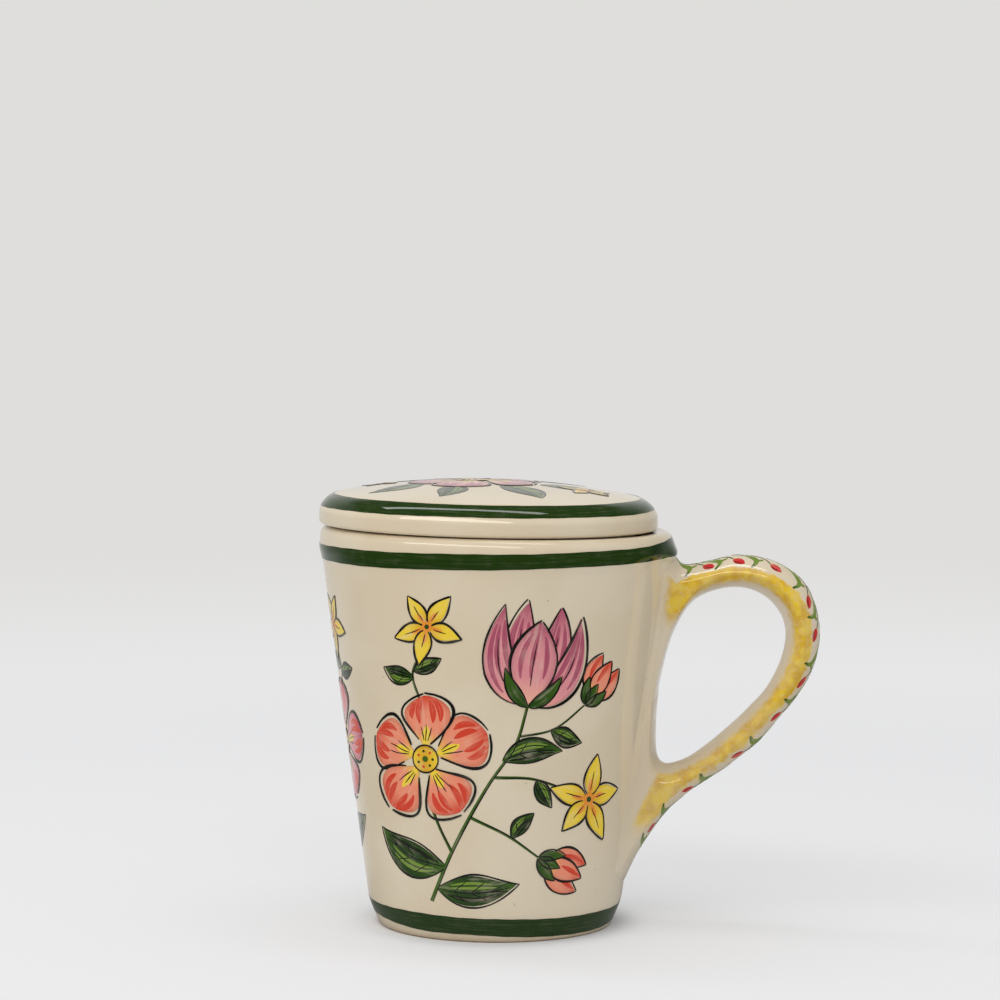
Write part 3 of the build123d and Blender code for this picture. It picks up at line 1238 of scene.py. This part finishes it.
# Its hooked leaves, with a spur, reach further and are wider down the handle. Where they are
# pressed and where they are dark goes by shares of their length.
hook_line = np.array(
    ((-7.6, 0.2), (-5.0, 0.7), (-2.4, 1.6), (-0.5, 2.9), (-0.2, 4.0), (-0.8, 5.5))
)
hook_press = ((0.0, 0.35, 0.62, 0.8, 1.0), (0.1, 0.4, 1.0, 0.8, 0.3))
hook_dark = ((0.0, 0.4, 0.85, 1.0), (0.5, 0.0, 0.0, 1.0))
hook_growth = (55.0, 95.0)
hook_width, hook_wider, hook_further = 0.76, 0.3, 0.1
spur_line = np.array(((-0.6, 3.0), (0.3, 2.8), (1.2, 2.1)))
spur_width = 0.8

# Its berries, each some way after a leaf and aside of the crest, tilted, on a stalk
stalk_line = np.array(((-7.0, 0.2), (-4.2, 0.8), (-1.4, 3.0)))
stalk_width = 0.32
berry_after, berry_aside, berry_tilt = 4.7, 3.7, 24


def paint_handle():
    """Berries on thin stalks and hooked leaves in turn, along both sides of the crest."""
    painter = Painter(handle_place, 37)
    last = outer_lengths[-1] - border_end
    for side, place in ((-1, border_start), (1, border_start + border_shift)):
        for step in border_steps:
            if place > last:
                break
            grown = ease(*hook_growth, place)
            stretch = (painter.about(1, 0.1), side * (1 + hook_further * grown))
            line = smooth_line(hook_line * stretch + (place, 0), 22)
            shares = np.linspace(0, 1, len(line))
            half = (hook_width + hook_wider * grown) * np.interp(shares, *hook_press)
            tints = blended(leaf_light, leaf_dark, np.interp(shares, *hook_dark))
            painter.wash.stroke(line, half, half, tints, wash_lift)
            spur = smooth_line(spur_line * (1, side) + (place, 0), 8)
            painter.pen(spur, spur_width, leaf_light)
            berry = place + painter.about(berry_after, 0.08)
            if step and berry < last:
                stalk = smooth_line(stalk_line * (1, side) + (berry, 0), 12)
                painter.pen(stalk, stalk_width, leaf_dark)
                aside, tilt = painter.about(berry_aside, 0.08), painter.about(berry_tilt, 0.4)
                spot = Spot(berry, side * aside, side * tilt)
                fruit = spot.shape(blade((-1.7, 0), (0, 0.1), (1.9, 0), 0.98, 0.85, 0.7, count=12))
                painter.fill(fruit, (coral, berry_red, berry_red))
                painter.streak(fruit, berry_dark, 0.1, 0.9, -0.62, 0.5)
            place += step
    return painter


# Bands


# Each goes round with an overlap, in which its tail narrows and is darker. The waves of its edges
# are a count round and a size.
band_points = 330
band_overlap = radians(9)
band_waves = ((3, 0.07), (8, 0.05), (31, 0.035))
band_lifts = (0.05, 0.09)
tail_share, tail_widths = 0.55, (1.0, 0.35)
overlap_dark, overlap_edge = 0.45, 0.02


def band(name, surface, heights, start, climb, drifts, body, slot, seed):
    """A painted band, laid once round and a little over its own start, climbing to the right.

    Drifts widen it in places: each is an edge, a turn from the front, a reach and a width.
    """
    chance = random.Random(seed)
    low, high = (surface.along_at_height(height) for height in heights)
    middle, half = (low + high) / 2, (high - low) / 2
    radius = float(np.interp(middle, surface.along, surface.radius))
    once, whole = 2 * pi, 2 * pi + band_overlap
    angles = np.linspace(0, whole, band_points)
    turns = start + angles - front_angle
    phases = [chance.uniform(0, 2 * pi) for _ in range(2 * len(band_waves))]

    def uneven(edge):
        width = half
        own = phases[:3] if edge == "high" else phases[3:]
        for (count, size), phase in zip(band_waves, own):
            width = width + size * np.sin(count * angles + phase)
        for drifted, turn, reach, wider in drifts:
            if drifted == edge:
                aside = np.abs(half_turn(turns - radians(turn)))
                width = width + wider * (1 - ease(0, radians(reach), aside))
        return width

    def place(x, y):
        return surface.at(y, start + x / radius)

    canvas = Canvas(place)
    spine = np.stack((angles * radius, middle + climb * np.sin(turns)), axis=1)
    lifts = np.interp(angles, (0, whole), band_lifts)
    tail = np.interp(angles, (once + band_overlap * tail_share, whole), tail_widths)
    dark = np.interp(angles, (once - overlap_edge, once + overlap_edge), (0.0, overlap_dark))
    tints = blended(band_green, band_dark, dark)
    left, right = uneven("high") * tail, uneven("low") * tail
    canvas.stroke(spine, left, right, tints, lifts, across=wash_columns)
    return canvas.piece(name, band_paint, body, slot)


# Build the pieces

cup = turned_piece("cup", cup_surface, "mug", "cup_glaze", (cup_height, foot_edge))
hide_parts("mug_body")
lid = turned_piece("lid_cover", lid_surface, "lid", "lid_glaze", (cup_height, lid_low.z))
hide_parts("lid")
handle = handle_piece()
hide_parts("handle")

wash_paint = paint_material("wash_paint", 0.34, 1.3, 0.35)
shade_paint = paint_material("shade_paint", 0.3, 2.2, 0.0)
line_paint = paint_material("line_paint", 0.1, 3.0, 0.0)
band_paint = paint_material("band_paint", 0.05, 1.8, 0.25)

for name, painter, body, slot in (
    ("cup", paint_cup(), "mug", "cup_glaze"),
    ("lid", paint_lid(), "lid", "lid_glaze"),
    ("handle", paint_handle(), "mug", "handle_glaze"),
):
    for brush, canvas, material in (
        ("washes", painter.wash, wash_paint),
        ("shades", painter.shade, shade_paint),
        ("lines", painter.line, line_paint),
    ):
        if canvas.strokes:
            canvas.piece(f"{name}_{brush}", material, body, slot)

band_start = front_angle + radians(58)
heel_start, lid_start = band_start + 2.0, band_start + 2.6
rim_heights, heel_heights, lid_heights = (92.05, 95.95), (1.77, 6.2), (104.28, 107.03)
rim_drifts = (("low", -75, 75, -0.65), ("high", 90, 42, 1.0))
heel_drifts = (("low", -85, 55, -1.2), ("low", 34, 48, 0.55))
for row in (
    ("rim_band", cup_surface, rim_heights, band_start, 1.1, rim_drifts, "mug", "cup_glaze", 1),
    ("heel_band", cup_surface, heel_heights, heel_start, -0.6, heel_drifts, "mug", "cup_glaze", 2),
    ("lid_band", lid_surface, lid_heights, lid_start, 0.3, (), "lid", "lid_glaze", 3),
):
    band(*row)

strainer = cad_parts["infuser"]
strainer.data.materials.clear()
strainer.data.materials.append(glaze_material("infuser_glaze", thin_edges=False))

# Stage, light and camera


# Paper: its tints, and the ranges over which one goes over into another, in metres from the mug
# or, for what lies before it, in shares of that distance
fibre_noise = (260.0, 2.0)
fibre_tints = (colour(225, 226, 229), colour(228, 229, 232))
glow_tints = (colour(233, 233, 234), colour(223, 222, 220))
dim_tint = colour(72, 72, 71)
glow_range = (0.3, 1.2)
near_glow = (0.028, 0.04, 0.0, 0.42)
far_glow = (0.1, 0.6)
dim_right, dim_left = 1.2, -0.35
dim_before = (-0.35, 1.2, 1.0, 0.0)
dim_near = (0.035, 0.2, 0.87, 1.0)
dim_above = (0.8, 1.45)

# Stage: rings of the floor, the sweep up to the wall and its top
floor_rings = (120.0, 300.0, 600.0, 900.0, 1200.0)
stage_sweep, sweep_steps = 500.0, 16
stage_top = 1500.0
stage_segments = 96
paper_gap = 0.05

# Light: the surround's tone and its strength, to gloss too, and the lamps, each with its place,
# the turn of its width in plan, its width and depth, its energy and its tone
surround_tone = (0.97, 0.985, 1.0)
surround_strength, surround_gloss = 0.67, 0.08
light_aim = 60
lamps = (
    ("overhead", (-117, 115, 1050), -15, 1150, 150, 2.3, (1.0, 1.0, 1.0)),
    ("front", (-260, -700, 880), -20, 1440, 240, 5.2, (1.0, 0.95, 0.86)),
)


def glossy_ray(tree):
    return tree.nodes.new("ShaderNodeLightPath").outputs["Is Glossy Ray"]


def stage_material():
    """Pale paper: lit and shadowed at the mug, an even glow further off, dim to gloss in front."""
    material, tree, shader = new_shader("paper")
    tree.nodes.remove(shader)
    place = object_place(tree)
    ground = tree.nodes.new("ShaderNodeBsdfDiffuse")
    fibre = noise(tree, place, *fibre_noise)
    feed(tree, ground.inputs["Color"], mixed(tree, fibre, *fibre_tints))
    parts = tree.nodes.new("ShaderNodeSeparateXYZ")
    feed(tree, parts.inputs[0], place)
    x, y, z = parts.outputs
    length = tree.nodes.new("ShaderNodeVectorMath")
    length.operation = "LENGTH"
    feed(tree, length.inputs[0], place)
    reach = length.outputs["Value"]
    far = tree.nodes.new("ShaderNodeEmission")
    glow = mixed(tree, ranged(tree, reach, *glow_range), *glow_tints)
    near = ranged(tree, reach, *near_glow)
    away = maths(tree, "MAXIMUM", near, ranged(tree, reach, *far_glow))
    right = maths(tree, "MULTIPLY", maths(tree, "MAXIMUM", x, 0.0), dim_right)
    left = maths(tree, "MULTIPLY", maths(tree, "MINIMUM", x, 0.0), dim_left)
    behind = maths(tree, "SUBTRACT", maths(tree, "SUBTRACT", y, right), left)
    before = ranged(tree, maths(tree, "DIVIDE", behind, reach), *dim_before)
    before = maths(tree, "MULTIPLY", before, ranged(tree, reach, *dim_near))
    dimmed = maths(tree, "MAXIMUM", before, ranged(tree, z, *dim_above))
    dim = maths(tree, "MULTIPLY", glossy_ray(tree), dimmed)
    feed(tree, far.inputs["Color"], mixed(tree, dim, glow, dim_tint))
    blend = tree.nodes.new("ShaderNodeMixShader")
    feed(tree, blend.inputs[0], maths(tree, "MAXIMUM", away, dim))
    feed(tree, blend.inputs[1], ground.outputs[0])
    feed(tree, blend.inputs[2], far.outputs[0])
    feed(tree, tree.nodes["Material Output"].inputs["Surface"], blend.outputs[0])
    return material


def make_stage():
    """A round paper floor that sweeps up into a wall on all sides, well clear of the camera."""
    rings = [(reach, 0.0) for reach in floor_rings]
    for step in range(1, sweep_steps + 1):
        angle = pi / 2 * step / sweep_steps
        out, up = stage_sweep * sin(angle), stage_sweep * (1 - cos(angle))
        rings.append((floor_rings[-1] + out, up))
    rings.append((floor_rings[-1] + stage_sweep, stage_top))
    points = [(0.0, 0.0, 0.0)]
    for reach, height in rings:
        for segment in range(stage_segments):
            angle = 2 * pi * segment / stage_segments
            points.append((reach * cos(angle), reach * sin(angle), height))
    faces = [(0, 1 + a, 1 + (a + 1) % stage_segments) for a in range(stage_segments)]
    for ring in range(len(rings) - 1):
        low, high = 1 + ring * stage_segments, 1 + (ring + 1) * stage_segments
        faces.extend(ring_faces(low, high, stage_segments))
    mesh = bpy.data.meshes.new("paper")
    mesh.from_pydata([tuple(c * MM for c in point) for point in points], [], faces)
    mesh.shade_smooth()
    mesh.materials.append(stage_material())
    paper = added("paper", mesh)
    paper.location.z = -paper_gap * MM


def make_light(name, place, turn, width, depth, energy, tone):
    """A soft rectangular lamp aimed at the mug, its width turned in plan."""
    lamp = bpy.data.lights.new(name, "AREA")
    lamp.shape = "RECTANGLE"
    lamp.size, lamp.size_y = width * MM, depth * MM
    lamp.energy = energy
    lamp.color = tone
    light = added(name, lamp)
    light.location = Vector(place) * MM
    back = (Vector(place) - Vector((0, 0, light_aim))).normalized()
    across = Vector((cos(radians(turn)), sin(radians(turn)), 0))
    across = (across - back * across.dot(back)).normalized()
    light.rotation_euler = Matrix((across, back.cross(across), back)).transposed().to_euler()


def make_lights():
    """A strip overhead, a wide warm softbox in front, and an even pale surround."""
    world = bpy.data.worlds.new("surround")
    world.use_nodes = True
    tree = world.node_tree
    sky = tree.nodes["Background"]
    feed(tree, sky.inputs["Color"], surround_tone)
    strength = ranged(tree, glossy_ray(tree), 0.0, 1.0, surround_strength, surround_gloss)
    feed(tree, sky.inputs["Strength"], strength)
    bpy.context.scene.world = world
    for lamp in lamps:
        make_light(*lamp)


def make_camera():
    """The camera at the photograph's place, with its lens."""
    data = bpy.data.cameras.new("camera")
    data.sensor_width = camera_sensor
    data.lens = camera_lens
    data.clip_start, data.clip_end = camera_clip
    camera = added("camera", data)
    turn = Matrix.Rotation(view_turn, 4, "Z")
    pitch = Matrix.Rotation(pi / 2 - camera_pitch, 4, "X")
    roll = Matrix.Rotation(camera_roll, 4, "Z")
    place = Vector((camera_aside, -camera_distance, camera_height)) * MM
    camera.matrix_world = turn @ Matrix.Translation(place) @ pitch @ roll
    bpy.context.scene.camera = camera


make_stage()
make_lights()
make_camera()
bpy.context.scene.view_settings.view_transform = "Standard"
